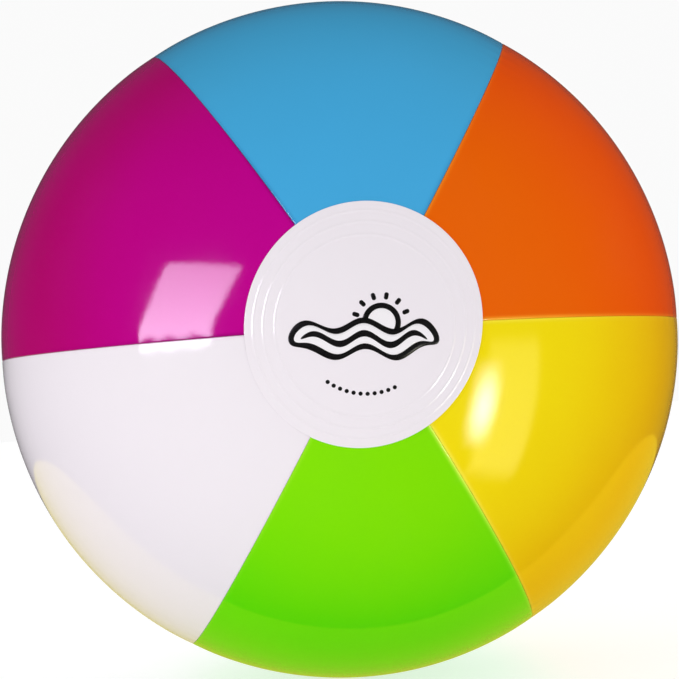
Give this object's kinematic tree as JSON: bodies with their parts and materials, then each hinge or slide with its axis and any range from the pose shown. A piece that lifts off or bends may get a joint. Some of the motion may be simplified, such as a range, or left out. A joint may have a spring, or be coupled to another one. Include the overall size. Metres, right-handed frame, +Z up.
{
  "type": "inflatable beach ball",
  "caption": "Inflated round beach ball of coloured glossy vinyl panels, with a white disc over each pole and a push-in valve whose plug swings on a strap.",
  "frame": {"origin": "centre of the inflated ball", "axes": "+Z up; the panels meet at two poles on the Y axis, with the printed front cap at -Y and the rear cap at +Y; the first seam runs through +X"},
  "size_m": [0.33, 0.3308, 0.33],
  "materials": {
    "vinyl_orange": "glossy vinyl film",
    "vinyl_blue": "glossy vinyl film",
    "vinyl_magenta": "glossy vinyl film",
    "vinyl_white": "glossy vinyl film",
    "vinyl_green": "glossy vinyl film",
    "vinyl_yellow": "glossy vinyl film",
    "valve_pvc": "soft translucent moulding",
    "flap_pvc": "soft clear film"
  },
  "bodies": {
    "ball": {"panel_orange": "vinyl_orange", "panel_blue": "vinyl_blue", "panel_magenta": "vinyl_magenta", "panel_white": "vinyl_white", "panel_green": "vinyl_green", "panel_yellow": "vinyl_yellow", "front_cap": "vinyl_white", "rear_cap": "vinyl_white", "valve_flange": "valve_pvc", "valve_web": "valve_pvc"},
    "stem": {"valve_stem": "valve_pvc"},
    "plug": {"valve_plug": "valve_pvc", "valve_strap": "valve_pvc"},
    "flap": {"valve_flap": "flap_pvc"}
  },
  "joints": [
    {"name": "stem_slide", "type": "slide", "parent": "ball", "child": "stem", "axis": [-0.6124, 0.7071, 0.3536], "range_m": [0, 0.012], "deforming": ["valve_web"]},
    {"name": "plug_hinge", "type": "hinge", "parent": "stem", "child": "plug", "pos_m": [-0.10842, 0.11105, 0.0626], "axis": [0.5, 0, 0.866], "range_deg": [0, 160], "deforming": ["valve_strap"]},
    {"name": "flap_hinge", "type": "hinge", "parent": "stem", "child": "flap", "pos_m": [-0.09731, 0.1067, 0.05618], "axis": [-0.5, 0, -0.866], "range_deg": [0, 60], "stiffness_Nm_per_rad": 0.0002, "springref_deg": -5.73}
  ]
}
